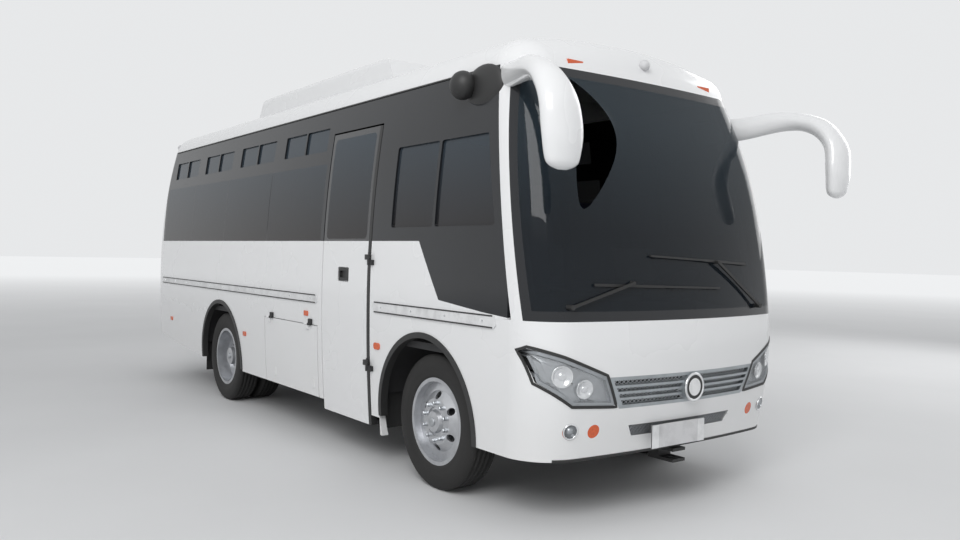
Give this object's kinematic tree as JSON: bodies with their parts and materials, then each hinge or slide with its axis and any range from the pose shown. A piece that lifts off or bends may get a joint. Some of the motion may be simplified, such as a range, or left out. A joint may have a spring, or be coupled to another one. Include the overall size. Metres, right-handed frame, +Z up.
{
  "type": "intercity bus",
  "caption": "Short intercity bus with a hollow cabin, front engine, side entry door, luggage hatches, steered front wheels and twin rear wheels.",
  "frame": {"origin": "on the ground, in the middle of the whole bus's box", "axes": "+X forward, +Y to the bus's left, +Z up"},
  "size_m": [8.0368, 2.912, 3.262],
  "materials": {
    "paint": "gloss white paint",
    "glass": "dark tinted safety glass",
    "black_trim": "black",
    "rubber": "matt",
    "tyre": "matt",
    "steel": "silver",
    "chassis_paint": "black underbody paint",
    "iron": "as cast",
    "lamp_orange": "clear orange",
    "lamp_red": "clear red",
    "plate": "blank",
    "fabric": "woven",
    "floor": "floor covering"
  },
  "bodies": {
    "root": {"arch_trims": "black_trim", "cameras": "plate", "chassis": "chassis_paint", "dark_band_left": "black_trim", "dark_band_right": "black_trim", "dashboard": "black_trim", "engine": "iron", "exhaust": "chassis_paint", "floor": "floor", "front_axle": "chassis_paint", "front_bumper": "paint", "front_mask": "paint", "front_plate": "plate", "fuel_tank": "chassis_paint", "glazing_left": "glass", "glazing_right": "glass", "grille": "steel", "headlamp_lenses": "glass", "headlamps": "steel", "hinge_brackets": "steel", "leaf_springs": "chassis_paint", "marker_lamps": "lamp_orange", "mirrors": "paint", "mudflaps": "rubber", "rear_axle": "chassis_paint", "rear_panel": "paint", "rear_window": "glass", "roof": "paint", "roof_unit": "paint", "rub_rails": "steel", "seats": "fabric", "side_left": "paint", "side_right": "paint", "steering_wheel": "black_trim", "tail_lamps": "lamp_red", "tow_jaws": "chassis_paint", "window_borders": "black_trim", "windscreen": "glass", "wipers": "rubber"},
    "entry_door": {"entry_door": "paint", "door_pane": "glass", "door_trim": "black_trim"},
    "luggage_hatch_right": {"luggage_hatch_right": "paint"},
    "luggage_hatch_left": {"luggage_hatch_left": "paint"},
    "boot_lid": {"boot_lid": "paint"},
    "knuckle_left": {"knuckle_left": "chassis_paint"},
    "knuckle_right": {"knuckle_right": "chassis_paint"},
    "wheel_front_left": {"tyre_front_left": "tyre", "rim_front_left": "steel"},
    "wheel_front_right": {"tyre_front_right": "tyre", "rim_front_right": "steel"},
    "wheel_rear_left": {"tyre_rear_left": "tyre", "rim_rear_left": "steel"},
    "wheel_rear_right": {"tyre_rear_right": "tyre", "rim_rear_right": "steel"}
  },
  "joints": [
    {"name": "entry_door_hinge", "type": "hinge", "parent": "root", "child": "entry_door", "pos_m": [1.6685, -1.197, 0.76], "axis": [0, 0, 1], "range_deg": [0, 95]},
    {"name": "luggage_hatch_right_hinge", "type": "hinge", "parent": "root", "child": "luggage_hatch_right", "pos_m": [0.2015, -1.192, 0.992], "axis": [-1, 0, 0], "range_deg": [0, 90]},
    {"name": "luggage_hatch_left_hinge", "type": "hinge", "parent": "root", "child": "luggage_hatch_left", "pos_m": [0.2015, 1.192, 0.992], "axis": [1, 0, 0], "range_deg": [0, 90]},
    {"name": "boot_lid_hinge", "type": "hinge", "parent": "root", "child": "boot_lid", "pos_m": [-4.0085, 0, 1.415], "axis": [0, 1, 0], "range_deg": [0, 85]},
    {"name": "steer_left", "type": "hinge", "parent": "root", "child": "knuckle_left", "pos_m": [2.4635, 0.8, 0.465], "axis": [0, 0, 1], "range_deg": [-35, 35]},
    {"name": "steer_right", "type": "hinge", "parent": "root", "child": "knuckle_right", "pos_m": [2.4635, -0.8, 0.465], "axis": [0, 0, 1], "range_deg": [-35, 35]},
    {"name": "roll_front_left", "type": "hinge", "parent": "knuckle_left", "child": "wheel_front_left", "pos_m": [2.4635, 0.9975, 0.465], "axis": [0, 1, 0], "continuous": true},
    {"name": "roll_front_right", "type": "hinge", "parent": "knuckle_right", "child": "wheel_front_right", "pos_m": [2.4635, -0.9975, 0.465], "axis": [0, 1, 0], "continuous": true},
    {"name": "roll_rear_left", "type": "hinge", "parent": "root", "child": "wheel_rear_left", "pos_m": [-1.6015, 0.9975, 0.465], "axis": [0, 1, 0], "continuous": true},
    {"name": "roll_rear_right", "type": "hinge", "parent": "root", "child": "wheel_rear_right", "pos_m": [-1.6015, -0.9975, 0.465], "axis": [0, 1, 0], "continuous": true}
  ],
  "couplings": [
    {"joint": "steer_right", "follows": "steer_left", "ratio": 1}
  ]
}
